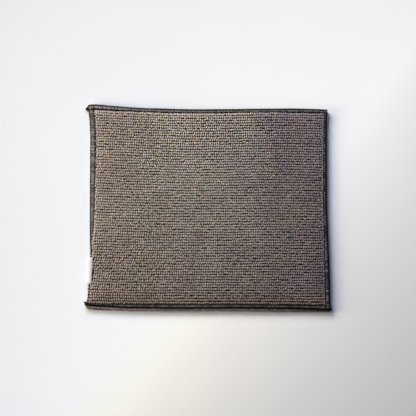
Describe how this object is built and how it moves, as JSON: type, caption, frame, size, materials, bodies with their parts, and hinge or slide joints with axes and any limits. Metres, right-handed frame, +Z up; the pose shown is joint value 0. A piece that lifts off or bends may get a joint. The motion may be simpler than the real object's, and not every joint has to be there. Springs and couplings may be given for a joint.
{
  "type": "microfibre cloth",
  "caption": "Flat rectangular cloth with ribbed looped pile, overlocked edging on all sides, thread tails at the corners and a small blank side label.",
  "frame": {"origin": "on the surface that the cloth lies on, under the middle of its box", "axes": "+Z up out of the face, +X along the ribs to the right, +Y up the face away from the bottom side"},
  "size_m": [0.2054, 0.1736, 0.0046],
  "materials": {
    "pile": "matte looped microfibre pile in ribs",
    "edging": "overlocked polyester thread",
    "label": "satin tape"
  },
  "bodies": {
    "root": {"cloth": "pile", "edging_top": "edging", "edging_bottom": "edging", "edging_left": "edging", "edging_right": "edging", "label": "label"}
  },
  "joints": []
}
